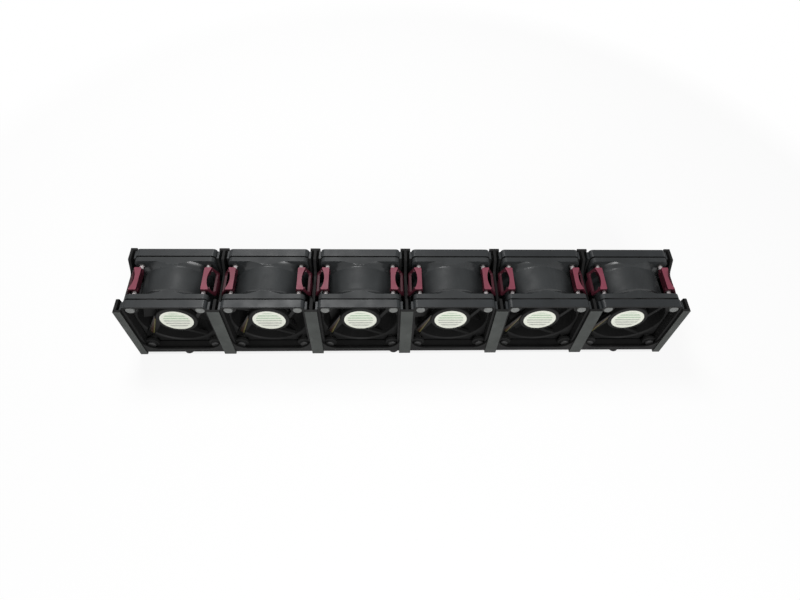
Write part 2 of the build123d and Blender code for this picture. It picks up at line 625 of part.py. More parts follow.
for bay in range(BAYS):
    bay_place = Location(((bay - (BAYS - 1) / 2) * PITCH, FAN_Y, FAN_Z))
    rotor_place = bay_place * Location((0, 0, 0), (0, bay * CLOCKING, 0))
    for pieces, piece_place in ((still_pieces, bay_place), (turning_pieces, rotor_place)):
        for name, solids in pieces.items():
            placed = Compound([solid.moved(piece_place) for solid in solids])
            placed.label = f"{name}_{bay + 1}"
            export_step(placed, f"parts/{placed.label}.step")
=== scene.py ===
"""Server fan cage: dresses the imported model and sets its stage.

Laid out as an add-on and run as a script. Everything is in metres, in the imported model's frame:
X runs along the row of fans, -Y is the front with the hub labels, +Z is up.
"""

import math

import bmesh
import bpy
from bpy.props import FloatProperty, FloatVectorProperty, PointerProperty
from mathutils import Matrix, Vector


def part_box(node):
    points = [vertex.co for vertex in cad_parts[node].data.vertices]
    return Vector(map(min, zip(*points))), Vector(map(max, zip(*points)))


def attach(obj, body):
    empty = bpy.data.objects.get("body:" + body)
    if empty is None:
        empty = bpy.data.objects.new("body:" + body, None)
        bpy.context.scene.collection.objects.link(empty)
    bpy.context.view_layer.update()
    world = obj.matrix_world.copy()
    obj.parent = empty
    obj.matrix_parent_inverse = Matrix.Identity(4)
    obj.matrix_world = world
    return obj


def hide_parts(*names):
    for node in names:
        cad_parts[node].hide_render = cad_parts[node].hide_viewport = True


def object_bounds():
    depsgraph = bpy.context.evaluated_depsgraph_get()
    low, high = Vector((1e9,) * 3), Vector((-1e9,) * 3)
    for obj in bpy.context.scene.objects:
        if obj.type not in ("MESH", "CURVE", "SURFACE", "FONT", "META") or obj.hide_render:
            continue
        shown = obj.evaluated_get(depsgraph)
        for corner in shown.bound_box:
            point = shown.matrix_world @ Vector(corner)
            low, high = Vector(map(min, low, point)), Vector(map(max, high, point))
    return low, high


bl_info = {
    "name": "Server Fan Cage",
    "version": (1, 0, 0),
    "blender": (4, 5, 0),
    "location": "3D View > Sidebar > Fan Cage",
    "description": "Dresses a row of lift-out fan modules in their moulded cage",
    "category": "Add Mesh",
}

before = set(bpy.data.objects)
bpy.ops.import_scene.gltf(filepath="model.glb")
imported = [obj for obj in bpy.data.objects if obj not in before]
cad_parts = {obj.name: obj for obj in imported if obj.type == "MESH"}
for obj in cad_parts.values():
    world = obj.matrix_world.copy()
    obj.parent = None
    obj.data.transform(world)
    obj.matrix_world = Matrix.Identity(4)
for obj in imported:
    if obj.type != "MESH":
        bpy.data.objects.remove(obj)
CAD_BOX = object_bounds()
BAYS = [name.rsplit("_", 1)[1] for name in sorted(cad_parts) if name.startswith("carrier_")]
MILLIMETRE = 0.001

# How a copied mesh is cleaned and rounded
MERGE_DISTANCE = 0.002 * MILLIMETRE
FLAT_ANGLE = math.radians(0.6)
EDGE_ANGLE = math.radians(32)
CREASE_ANGLE = math.radians(50)
EDGE_STEPS = 2
WORN_EDGE = "worn_edge"

# Parts of a face's normal that tell which way it looks: the strip, rim and bore limits pick faces for
# painted light and shade, the flare limits pick the glossier flares
STRIP_FRONT = -0.3
RIM_FRONT = 0.7
FLARE_LEAST = 0.15
FLARE_MOST = 0.95
BORE_INWARD = -0.1

LABEL_SIDES = 96


def colour(name, description, default):
    """Property for a finish's colour."""
    return FloatVectorProperty(
        name=name, description=description, default=default, size=4, min=0, max=1, subtype="COLOR"
    )


def length(name, description, millimetres):
    """Property for a length, given in millimetres."""
    return FloatProperty(
        name=name, description=description, default=millimetres * MILLIMETRE, min=0, unit="LENGTH"
    )


def location(name, description, metres):
    """Property for a place in the model's frame."""
    return FloatVectorProperty(
        name=name, description=description, default=metres, size=3, subtype="TRANSLATION", unit="LENGTH"
    )


def angle(name, description, degrees):
    """Property for an angle, given in degrees."""
    return FloatProperty(
        name=name,
        description=description,
        default=math.radians(degrees),
        unit="ROTATION",
        subtype="ANGLE",
    )


def power(name, description, watts):
    """Property for a lamp's power."""
    return FloatProperty(name=name, description=description, default=watts, min=0, unit="POWER")


def share(name, description, default):
    """Property for a share between none and all."""
    return FloatProperty(
        name=name, description=description, default=default, min=0, max=1, subtype="FACTOR"
    )


class FanCageFinish(bpy.types.PropertyGroup):
    """Colours of the fan cage."""

    # Painted light and shade on the cage: the strips' front faces take a lighter copy of its black, as lit
    # from the front, and the other faces a darker, shaded copy.
    cage: colour("Cage strips", "Strips in front of the cage's dividers", (0.046, 0.050, 0.047, 1))
    cage_shaded_body: colour("Cage body", "Darker faces behind the strips", (0.010, 0.010, 0.010, 1))
    carrier: colour("Carrier", "Moulded carrier round each fan", (0.014, 0.016, 0.0175, 1))
    housing: colour("Fan housing", "Moulded body of each fan", (0.022, 0.024, 0.025, 1))
    # Painted shade: a darker copy of the black plastic for faces inside the openings, the fans' front faces
    # and the rims' front and back faces; its matte roughness is real.
    inside: colour("Inside", "Matte black inside the openings", (0.012, 0.012, 0.012, 1))
    impeller: colour("Impeller", "Blades and hub", (0.024, 0.024, 0.024, 1))
    latch: colour("Latch", "Burgundy tops of the latches", (0.180, 0.042, 0.064, 1))
    # Painted shade: a darker copy of the latch's burgundy for the sides and finger loops, below the top
    # plate.
    latch_shaded_side: colour("Latch sides", "Shadowed sides and finger loops", (0.046, 0.009, 0.015, 1))
    isolator: colour("Isolator", "Pale tails of the upper isolators", (0.58, 0.53, 0.53, 1))
    # Painted shade: darker copies of the pale isolator rubber, grey on the upper heads in front of the fan
    # and dark on the lower isolators and on the upper barbs.
    isolator_shaded_head: colour("Isolator head", "Shaded ends of the upper isolators", (0.14, 0.145, 0.14, 1))
    isolator_shaded_dark: colour("Dark isolator", "Lower isolators and upper barbs", (0.010, 0.010, 0.010, 1))
    label: colour("Label", "Paper disc on each hub", (0.72, 0.74, 0.65, 1))
    print_high: colour("Upper print", "Plain bars on the disc's upper half", (0.16, 0.34, 0.17, 1))
    print_low: colour("Lower print", "Plain bars on the disc's lower half", (0.20, 0.20, 0.19, 1))
    plug: colour("Plug", "Moulded plug under each fan", (0.014, 0.014, 0.015, 1))
    copper: colour("Copper", "Motor inside each hub", (0.42, 0.16, 0.05, 1))
    steel: colour("Steel", "Shaft and magnet", (0.42, 0.42, 0.44, 1))
    lead_yellow: colour("Yellow lead", "First lead of the fan", (0.095, 0.086, 0.030, 1))
    lead_red: colour("Red lead", "Second lead of the fan", (0.034, 0.013, 0.009, 1))
    lead_brown: colour("Brown lead", "Third lead of the fan", (0.022, 0.014, 0.008, 1))
    lead_black: colour("Black lead", "Fourth lead of the fan", (0.008, 0.008, 0.008, 1))


class FanCageSizes(bpy.types.PropertyGroup):
    """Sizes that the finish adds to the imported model."""

    cage_edge: length("Cage edge", "Moulded radius on the cage", 0.35)
    carrier_edge: length("Carrier edge", "Moulded radius on the carriers", 0.3)
    housing_edge: length("Housing edge", "Moulded radius on the fan housings", 0.25)
    blade_edge: length("Blade edge", "Radius on the impeller's edges", 0.15)
    latch_edge: length("Latch edge", "Moulded radius on the latches", 0.22)
    rubber_edge: length("Rubber edge", "Radius on the isolators", 0.12)
    bore_wall: length("Bore wall", "Least wall between the bore and the side of the fan", 1.5)
    skin: length("Skin", "Depth that counts as a piece's outermost face", 0.3)
    tail_radius: length("Tail", "Radius that the thin tail of an isolator stays within", 1.8)
    strip_half: length("Strip", "Half the width of the strip in front of each divider", 4.6)
    strip_depth: length("Strip depth", "How far back the strips reach", 8.0)
    label_diameter: length("Label", "Diameter of the paper disc", 25.0)
    label_thickness: length("Label thickness", "Thickness of the paper disc", 0.12)


class FanCageStage(bpy.types.PropertyGroup):
    """Camera, lamps and floor."""

    camera_place: location("Camera place", "Where the camera stands", (-0.0185, -0.264, 0.4269))
    camera_pitch: angle("Pitch", "How far the camera looks down", 56.06)
    camera_yaw: angle("Yaw", "How far the camera turns to the left", -4.21)
    camera_roll: angle("Roll", "How far the camera leans", 3.42)
    camera_lens: FloatProperty(name="Lens", description="Focal length", default=26.81, unit="CAMERA")
    camera_shift: FloatProperty(name="Shift", description="Sideways shift of the frame", default=-0.00775)
    key_power: power("Key lamp", "Soft lamp over the front", 9.0)
    key_size: length("Key size", "Side of the key lamp", 500)
    key_place: location("Key place", "Where the key lamp hangs", (0.12, -0.9, 0.6))
    sheen_power: power("Sheen lamp", "Soft lamp behind, mirrored in the tops of the left fans", 4.8)
    sheen_size: length("Sheen size", "Side of the sheen lamp", 300)
    sheen_place: location("Sheen place", "Where the sheen lamp hangs", (-0.19, 0.37, 0.79))
    sky: FloatProperty(name="Sky", description="Strength of the even light", default=0.16, min=0)
    floor: colour("Floor", "Plain pale floor", (0.9, 0.9, 0.9, 1))
    floor_half: length("Floor half", "Half the side of the floor", 6000)
    floor_white: share("Floor white", "Share of plain white beside the cage", 0.88)
    footprint_edge: length("Footprint edge", "Soft edge of the dark floor under the cage", 8)
    white_start: length("White start", "Distance from which the floor turns plain white", 100)
    white_end: length("White end", "Distance from which the floor is plain white", 500)


def settings():
    """The scene's own colours and sizes for the fan cage."""
    return bpy.context.scene.fan_cage_finish, bpy.context.scene.fan_cage_sizes


def middle_of(node):
    """Middle of a CAD node's box."""
    low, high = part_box(node)
    return (low + high) / 2


# Materials


def blank_material(name):
    """New node material, with its tree and its shader."""
    material = bpy.data.materials.new(name)
    material.use_nodes = True
    return material, material.node_tree, material.node_tree.nodes["Principled BSDF"]


def add_node(tree, kind, inputs=(), **values):
    """New node with values on the named properties, and on the named input sockets."""
    node = tree.nodes.new(kind)
    for name, value in values.items():
        setattr(node, name, value)
    for name, value in dict(inputs).items():
        node.inputs[name].default_value = value
    return node


def noise(tree, place, scale, detail, stretch=(1, 1, 1)):
    """Noise texture on object coordinates, with its own stretch."""
    mapping = add_node(tree, "ShaderNodeMapping", {"Scale": stretch})
    texture = add_node(tree, "ShaderNodeTexNoise", {"Scale": scale, "Detail": detail})
    tree.links.new(place.outputs["Object"], mapping.inputs["Vector"])
    tree.links.new(mapping.outputs["Vector"], texture.inputs["Vector"])
    return texture.outputs["Fac"]


def spread(tree, value, to=(0, 1), within=(0.3, 0.7)):
    """A value within one range, spread over another."""
    ranges = {"From Min": within[0], "From Max": within[1], "To Min": to[0], "To Max": to[1]}
    node = add_node(tree, "ShaderNodeMapRange", ranges)
    tree.links.new(value, node.inputs["Value"])
    return node.outputs["Result"]


def combine(tree, operation, first, second):
    """Two values joined by a Math node's operation."""
    node = add_node(tree, "ShaderNodeMath", operation=operation)
    tree.links.new(first, node.inputs[0])
    tree.links.new(second, node.inputs[1])
    return node.outputs["Value"]


def blend_colours(tree, factor, first, second):
    """Mix of two colours, each a socket or a plain colour."""
    node = add_node(tree, "ShaderNodeMix", data_type="RGBA")
    tree.links.new(factor, node.inputs["Factor"])
    for socket, value in ((node.inputs[6], first), (node.inputs[7], second)):
        if isinstance(value, bpy.types.NodeSocket):
            tree.links.new(value, socket)
        else:
            socket.default_value = value
    return node.outputs[2]


def shade(value, factor):
    """A colour made darker or lighter."""
    return (*(min(1.0, channel * factor) for channel in value[:3]), 1)


def add_bump(tree, shader, height, strength, distance):
    """Bump on the shader from a height."""
    bump = add_node(tree, "ShaderNodeBump", {"Strength": strength, "Distance": distance})
    tree.links.new(height, bump.inputs["Height"])
    tree.links.new(bump.outputs["Normal"], shader.inputs["Normal"])


def moulded_plastic(name, base, roughness, grain, wear=1.9, shine=0.22):
    """Moulded plastic: cloudy tint, grain of a depth in millimetres, scuffs, and edges rubbed paler."""
    material, tree, shader = blank_material(name)
    place = tree.nodes.new("ShaderNodeTexCoord")
    cloud = spread(tree, noise(tree, place, scale=55, detail=4))
    tint = blend_colours(tree, cloud, shade(base, 0.82), shade(base, 1.2))
    scratches = noise(tree, place, scale=170, detail=6, stretch=(1, 0.18, 1))
    scuffs = spread(tree, scratches, to=(0, 0.35), within=(0.56, 0.72))
    tint = blend_colours(tree, scuffs, tint, shade(base, 1.7))
    rubbed = add_node(tree, "ShaderNodeAttribute", attribute_name=WORN_EDGE)
    patches = noise(tree, place, scale=420, detail=3)
    patchy = spread(tree, patches, to=(0.1, 0.9), within=(0.35, 0.65))
    worn = combine(tree, "MULTIPLY", rubbed.outputs["Fac"], patchy)
    tint = blend_colours(tree, worn, tint, shade(base, wear))
    tree.links.new(tint, shader.inputs["Base Color"])
    smears = noise(tree, place, scale=90, detail=5)
    handled = spread(tree, smears, to=(roughness - 0.07, roughness + 0.09))
    tree.links.new(handled, shader.inputs["Roughness"])
    shader.inputs["Specular IOR Level"].default_value = shine
    pores = noise(tree, place, scale=2600, detail=2)
    add_bump(tree, shader, pores, strength=0.35, distance=grain * MILLIMETRE)
    return material


def rubber(name, base):
    """Matte silicone rubber with a chalky bloom."""
    material, tree, shader = blank_material(name)
    place = tree.nodes.new("ShaderNodeTexCoord")
    bloom = spread(tree, noise(tree, place, scale=500, detail=4))
    tint = blend_colours(tree, bloom, shade(base, 0.8), shade(base, 1.08))
    tree.links.new(tint, shader.inputs["Base Color"])
    chalk = spread(tree, noise(tree, place, scale=240, detail=3), to=(0.5, 0.7))
    tree.links.new(chalk, shader.inputs["Roughness"])
    shader.inputs["Subsurface Weight"].default_value = 0.08
    shader.inputs["Subsurface Radius"].default_value = (0.001, 0.0009, 0.0008)
    pores = noise(tree, place, scale=3200, detail=2)
    add_bump(tree, shader, pores, strength=0.25, distance=0.02 * MILLIMETRE)
    return material


def sleeve(name, base):
    """Extruded insulation on a lead, faintly streaked along its run."""
    material, tree, shader = blank_material(name)
    place = tree.nodes.new("ShaderNodeTexCoord")
    streak = spread(tree, noise(tree, place, scale=900, detail=3, stretch=(1, 0.3, 0.6)))
    tint = blend_colours(tree, streak, shade(base, 0.75), shade(base, 1.2))
    tree.links.new(tint, shader.inputs["Base Color"])
    gloss = spread(tree, noise(tree, place, scale=600, detail=2), to=(0.34, 0.5))
    tree.links.new(gloss, shader.inputs["Roughness"])
    return material


def ground_metal(name, base, roughness, metallic, stretch):
    """Metal with fine lines from turning or winding."""
    material, tree, shader = blank_material(name)
    place = tree.nodes.new("ShaderNodeTexCoord")
    lines = noise(tree, place, scale=1800, detail=3, stretch=stretch)
    tint = blend_colours(tree, spread(tree, lines), shade(base, 0.7), shade(base, 1.2))
    tree.links.new(tint, shader.inputs["Base Color"])
    brushed = spread(tree, lines, to=(roughness - 0.08, roughness + 0.1))
    tree.links.new(brushed, shader.inputs["Roughness"])
    shader.inputs["Metallic"].default_value = metallic
    add_bump(tree, shader, lines, strength=0.3, distance=0.02 * MILLIMETRE)
    return material


def label_paper(name, base, ink, low_ink):
    """White paper disc with plain bars of ink, laid out on the disc's own UV map."""
    material, tree, shader = blank_material(name)
    place = tree.nodes.new("ShaderNodeTexCoord")
    bars = combine(tree, "MULTIPLY", label_rows(tree, place), label_breaks(tree, place))
    from_centre = add_node(tree, "ShaderNodeVectorMath", operation="DISTANCE")
    from_centre.inputs[1].default_value = (0.5, 0.5, 0)
    tree.links.new(place.outputs["UV"], from_centre.inputs[0])
    inside = spread(tree, from_centre.outputs["Value"], to=(1, 0), within=(0.38, 0.41))
    axes = tree.nodes.new("ShaderNodeSeparateXYZ")
    tree.links.new(place.outputs["UV"], axes.inputs["Vector"])
    inks = blend_colours(tree, spread(tree, axes.outputs["Y"], within=(0.45, 0.55)), low_ink, ink)
    fibres = spread(tree, noise(tree, place, scale=900, detail=4))
    paper = blend_colours(tree, fibres, shade(base, 0.94), shade(base, 1.04))
    printed = blend_colours(tree, combine(tree, "MULTIPLY", bars, inside), paper, inks)
    tree.links.new(printed, shader.inputs["Base Color"])
    gloss = spread(tree, noise(tree, place, scale=300, detail=2), to=(0.4, 0.55))
    tree.links.new(gloss, shader.inputs["Roughness"])
    return material


def label_rows(tree, place):
    """Rows across the label: 1 on a row, 0 between rows."""
    rows = add_node(
        tree,
        "ShaderNodeTexWave",
        {"Scale": 2.3, "Distortion": 0.0},
        wave_type="BANDS",
        bands_direction="Y",
        wave_profile="SIN",
    )
    tree.links.new(place.outputs["UV"], rows.inputs["Vector"])
    return spread(tree, rows.outputs["Fac"], within=(0.4, 0.55))


def label_breaks(tree, place):
    """Short breaks along the label's rows."""
    breaks = add_node(
        tree,
        "ShaderNodeTexBrick",
        {
            "Scale": 11.0,
            "Mortar Size": 0.025,
            "Mortar Smooth": 0.1,
            "Color1": (1, 1, 1, 1),
            "Color2": (0.6, 0.6, 0.6, 1),
            "Mortar": (0, 0, 0, 1),
        },
    )
    tree.links.new(place.outputs["UV"], breaks.inputs["Vector"])
    return breaks.outputs["Color"]


# Meshes


def merged_copy(node):
    """Copy of a CAD node's mesh with its doubles merged and its flat faces joined."""
    mesh = bmesh.new()
    mesh.from_mesh(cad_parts[node].data)
    bmesh.ops.remove_doubles(mesh, verts=mesh.verts, dist=MERGE_DISTANCE)
    bmesh.ops.dissolve_limit(mesh, angle_limit=FLAT_ANGLE, verts=mesh.verts, edges=mesh.edges)
    return mesh


def round_edges(mesh, radius):
    """Rounds the sharp edges, and marks the rounded faces as worn."""
    worn = mesh.faces.layers.float.new(WORN_EDGE)
    sharp = [edge for edge in mesh.edges if edge.is_manifold and edge.calc_face_angle() > EDGE_ANGLE]
    made = bmesh.ops.bevel(
        mesh,
        geom=sharp,
        offset=radius,
        offset_type="OFFSET",
        affect="EDGES",
        segments=EDGE_STEPS,
        profile=0.5,
        material=-1,
        clamp_overlap=True,
        loop_slide=True,
    )
    for face in made["faces"]:
        face[worn] = 1.0


def islands(mesh):
    """The faces of each separate solid in a bmesh."""
    left = set(mesh.faces)
    found = []
    while left:
        front = [left.pop()]
        solid = list(front)
        while front:
            face = front.pop()
            for edge in face.edges:
                for neighbour in edge.link_faces:
                    if neighbour in left:
                        left.remove(neighbour)
                        front.append(neighbour)
                        solid.append(neighbour)
        found.append(solid)
    return found


def finished_piece(mesh, name, body, materials):
    """Object from a bmesh, riding on a body and finished in the given materials."""
    data = bpy.data.meshes.new(name)
    mesh.to_mesh(data)
    mesh.free()
    data.shade_smooth()
    data.set_sharp_from_angle(angle=CREASE_ANGLE)
    for material in materials:
        data.materials.append(material)
    piece = bpy.data.objects.new(name, data)
    bpy.context.scene.collection.objects.link(piece)
    piece.modifiers.new("even_shading", "WEIGHTED_NORMAL").keep_sharp = True
    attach(piece, body)
    return piece


def dressed_node(node, name, body, materials, radius=0, paint=None):
    """Stands a finished copy in for a CAD node: edges rounded by radius, materials shared out by paint."""
    mesh = merged_copy(node)
    if radius:
        round_edges(mesh, radius)
    if paint:
        paint(mesh)
    piece = finished_piece(mesh, name, body, materials)
    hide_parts(node)


def finish_as_packed(node, material):
    """Finish for a CAD node that is shown as it was packed."""
    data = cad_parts[node].data
    data.materials.clear()
    data.materials.append(material)


# Operators


class FANCAGE_OT_stage(bpy.types.Operator):
    """Set the camera, the lamps and the floor"""

    bl_idname = "fan_cage.stage"
    bl_label = "Stage"

    def execute(self, context):
        stage = context.scene.fan_cage_stage
        context.scene.view_settings.view_transform = "Standard"
        self.add_camera(context, stage)
        self.add_lamp(context, "key_lamp", stage.key_power, stage.key_size, stage.key_place)
        self.add_lamp(context, "sheen_lamp", stage.sheen_power, stage.sheen_size, stage.sheen_place)
        self.add_floor(context, stage)
        self.add_sky(context, stage)
        return {"FINISHED"}

    def add_camera(self, context, stage):
        data = bpy.data.cameras.new("camera")
        data.lens = stage.camera_lens
        data.shift_x = stage.camera_shift
        data.clip_start = 0.01
        camera = bpy.data.objects.new("camera", data)
        context.scene.collection.objects.link(camera)
        yaw, pitch, roll = stage.camera_yaw, stage.camera_pitch, stage.camera_roll
        right = Vector((math.cos(yaw), math.sin(yaw), 0))
        ahead = Vector((-math.sin(yaw), math.cos(yaw), 0))
        above = Vector((0, 0, 1))
        forward = ahead * math.cos(pitch) - above * math.sin(pitch)
        up = above * math.cos(pitch) + ahead * math.sin(pitch)
        side = right * math.cos(roll) + up * math.sin(roll)
        top = up * math.cos(roll) - right * math.sin(roll)
        turn = Matrix((side, top, -forward)).transposed().to_4x4()
        camera.matrix_world = Matrix.Translation(stage.camera_place) @ turn
        context.scene.camera = camera

    def add_lamp(self, context, name, watts, size, place):
        data = bpy.data.lights.new(name, "AREA")
        data.energy = watts
        data.size = size
        lamp = bpy.data.objects.new(name, data)
        context.scene.collection.objects.link(lamp)
        lamp.location = place
        lamp.rotation_mode = "QUATERNION"
        lamp.rotation_quaternion = (-Vector(place)).to_track_quat("-Z", "Y")

    def add_floor(self, context, stage):
        mesh = bmesh.new()
        bmesh.ops.create_grid(mesh, x_segments=1, y_segments=1, size=stage.floor_half)
        data = bpy.data.meshes.new("floor")
        mesh.to_mesh(data)
        mesh.free()
        floor = bpy.data.objects.new("floor", data)
        context.scene.collection.objects.link(floor)
        material, tree, shader = blank_material("pale_floor")
        shader.inputs["Base Color"].default_value = stage.floor
        shader.inputs["Roughness"].default_value = 0.9
        shader.inputs["Specular IOR Level"].default_value = 0.0
        glow = add_node(tree, "ShaderNodeEmission", {"Strength": 1.0})
        white = combine(tree, "MULTIPLY", self.seen_rays(tree), self.clear_of_cage(tree, stage))
        mix = tree.nodes.new("ShaderNodeMixShader")
        tree.links.new(white, mix.inputs["Fac"])
        tree.links.new(shader.outputs["BSDF"], mix.inputs[1])
        tree.links.new(glow.outputs["Emission"], mix.inputs[2])
        tree.links.new(mix.outputs["Shader"], tree.nodes["Material Output"].inputs["Surface"])
        data.materials.append(material)

    def clear_of_cage(self, tree, stage):
        """Share of plain white in the floor: none under the cage, most beside it, all far out."""
        low, high = CAD_BOX
        place = tree.nodes.new("ShaderNodeTexCoord")
        offset = add_node(tree, "ShaderNodeVectorMath", operation="SUBTRACT")
        offset.inputs[1].default_value = (low + high) / 2
        tree.links.new(place.outputs["Object"], offset.inputs[0])
        beside = add_node(tree, "ShaderNodeVectorMath", operation="ABSOLUTE")
        tree.links.new(offset.outputs["Vector"], beside.inputs[0])
        axes = tree.nodes.new("ShaderNodeSeparateXYZ")
        tree.links.new(beside.outputs["Vector"], axes.inputs["Vector"])
        half = (high - low) / 2
        past_x, past_y = (
            spread(tree, axes.outputs[axis], within=(reach - stage.footprint_edge, reach))
            for axis, reach in zip("XY", half)
        )
        outside = combine(tree, "MAXIMUM", past_x, past_y)
        near = spread(tree, outside, to=(0, stage.floor_white), within=(0, 1))
        distance = add_node(tree, "ShaderNodeVectorMath", operation="LENGTH")
        tree.links.new(offset.outputs["Vector"], distance.inputs[0])
        far = spread(tree, distance.outputs["Value"], within=(stage.white_start, stage.white_end))
        return combine(tree, "MAXIMUM", near, combine(tree, "MULTIPLY", far, outside))

    def add_sky(self, context, stage):
        world = bpy.data.worlds.new("even_light")
        world.use_nodes = True
        tree = world.node_tree
        background = tree.nodes["Background"]
        background.inputs["Color"].default_value = (1, 1, 1, 1)
        strength = spread(tree, self.seen_rays(tree), to=(stage.sky, 1), within=(0, 1))
        tree.links.new(strength, background.inputs["Strength"])
        context.scene.world = world

    def seen_rays(self, tree):
        """1 for rays that show the background or its reflection, 0 for rays that light the object."""
        path = tree.nodes.new("ShaderNodeLightPath")
        seen = path.outputs["Is Camera Ray"]
        for name in ("Is Glossy Ray", "Is Transmission Ray"):
            seen = combine(tree, "MAXIMUM", seen, path.outputs[name])
        return seen


class FANCAGE_OT_cage(bpy.types.Operator):
    """Dress the moulded cage"""

    bl_idname = "fan_cage.cage"
    bl_label = "Cage"

    def execute(self, context):
        finish, sizes = settings()
        strips = moulded_plastic(
            "cage_plastic", finish.cage, roughness=0.5, grain=0.05, wear=1.3, shine=0.14
        )
        body = moulded_plastic(
            "cage_shaded_body_plastic", finish.cage_shaded_body, roughness=0.55, grain=0.05, wear=1.2, shine=0.08
        )
        middles = [middle_of(f"fan_housing_{bay}").x for bay in BAYS]
        pitch = (max(middles) - min(middles)) / (len(BAYS) - 1)
        opening = pitch / 2 - sizes.strip_half
        strip_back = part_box("fan_cage")[0].y + sizes.strip_depth

        # Painted light and shade: front faces of the strips take the lighter, lit copy; faces beside the
        # fans, further back or not facing the front take the darker, shaded copy.
        def paint(mesh):
            for face in mesh.faces:
                centre = face.calc_center_median()
                beside_fan = min(abs(centre.x - middle) for middle in middles) < opening
                behind = centre.y > strip_back
                face.material_index = int(beside_fan or behind or face.normal.y > STRIP_FRONT)

        dressed_node(
            "fan_cage", "moulded_cage", "cage", [strips, body], sizes.cage_edge, paint
        )
        return {"FINISHED"}


class FANCAGE_OT_carriers(bpy.types.Operator):
    """Dress the carrier round each fan"""

    bl_idname = "fan_cage.carriers"
    bl_label = "Carriers"

    def execute(self, context):
        finish, sizes = settings()
        plastic = moulded_plastic("carrier_plastic", finish.carrier, roughness=0.4, grain=0.04)
        shaded_matte = moulded_plastic(
            "carrier_shaded_inside", finish.inside, roughness=0.62, grain=0.05, wear=1.5, shine=0.1
        )
        for bay in BAYS:
            self.add_carrier(bay, sizes, [plastic, shaded_matte])
        return {"FINISHED"}

    def add_carrier(self, bay, sizes, materials):
        node = f"carrier_{bay}"
        middle = middle_of(f"fan_housing_{bay}")
        front, back = (corner.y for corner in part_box(node))

        # Painted shade: recessed inward faces and the rim's front and back faces take the darker, shaded
        # copy.
        def paint(mesh):
            for face in mesh.faces:
                centre = face.calc_center_median()
                inward = (middle - centre).dot(face.normal) > 0
                recessed = front + sizes.skin < centre.y < back - sizes.skin
                shaded_matte = recessed and inward or abs(face.normal.y) > RIM_FRONT
                face.material_index = int(shaded_matte)

        dressed_node(
            node,
            f"fan_carrier_{bay}",
            f"module_{bay}",
            materials,
            sizes.carrier_edge,
            paint,
        )


class FANCAGE_OT_fan_housings(bpy.types.Operator):
    """Dress the flared housing of each fan"""

    bl_idname = "fan_cage.fan_housings"
    bl_label = "Fan housings"

    def execute(self, context):
        finish, sizes = settings()
        plastic = moulded_plastic(
            "housing_plastic", finish.housing, roughness=0.5, grain=0.015, wear=1.9, shine=0.18
        )
        shaded_matte = moulded_plastic(
            "housing_shaded_inside", finish.inside, roughness=0.6, grain=0.03, wear=1.2, shine=0.12
        )
        glossy = moulded_plastic(
            "housing_flare", finish.housing, roughness=0.24, grain=0.01, wear=1.9, shine=0.3
        )
        for bay in BAYS:
            self.add_housing(bay, sizes, [plastic, shaded_matte, glossy])
        return {"FINISHED"}

    def add_housing(self, bay, sizes, materials):
        node = f"fan_housing_{bay}"
        plastic, shaded_matte, glossy = range(len(materials))
        low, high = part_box(node)
        middle = (low + high) / 2
        bore = high.x - middle.x - sizes.bore_wall

        # Painted shade: faces within the bore, inward faces and the front face take the darker, shaded
        # copy; the flares take the glossier copy.
        def paint(mesh):
            for face in mesh.faces:
                offset = face.calc_center_median() - middle
                across = Vector((offset.x, 0, offset.z))
                inward = across.dot(face.normal) < BORE_INWARD * across.length
                at_front = offset.y < low.y - middle.y + sizes.skin
                if across.length < bore or inward or at_front:
                    face.material_index = shaded_matte
                elif FLARE_LEAST < abs(face.normal.y) < FLARE_MOST:
                    face.material_index = glossy
                else:
                    face.material_index = plastic

        dressed_node(
            node,
            f"flared_housing_{bay}",
            f"module_{bay}",
            materials,
            sizes.housing_edge,
            paint,
        )


class FANCAGE_OT_impellers(bpy.types.Operator):
    """Dress the impellers, and finish the shafts and magnets inside them"""

    bl_idname = "fan_cage.impellers"
    bl_label = "Impellers"

    def execute(self, context):
        finish, sizes = settings()
        plastic = moulded_plastic("impeller_plastic", finish.impeller, roughness=0.34, grain=0.015)
        steel = ground_metal("shaft_steel", finish.steel, roughness=0.3, metallic=1.0, stretch=(1, 0.1, 1))
        for bay in BAYS:
            dressed_node(
                f"impeller_{bay}",
                f"bladed_rotor_{bay}",
                f"rotor_{bay}",
                [plastic],
                sizes.blade_edge,
            )
            finish_as_packed(f"shaft_and_magnet_{bay}", steel)
        return {"FINISHED"}


class FANCAGE_OT_motors(bpy.types.Operator):
    """Finish the motors inside the hubs"""

    bl_idname = "fan_cage.motors"
    bl_label = "Motors"

    def execute(self, context):
        tint = context.scene.fan_cage_finish.copper
        copper = ground_metal("wound_copper", tint, roughness=0.36, metallic=0.9, stretch=(0.2, 1, 0.2))
        for bay in BAYS:
            finish_as_packed(f"motor_{bay}", copper)
        return {"FINISHED"}


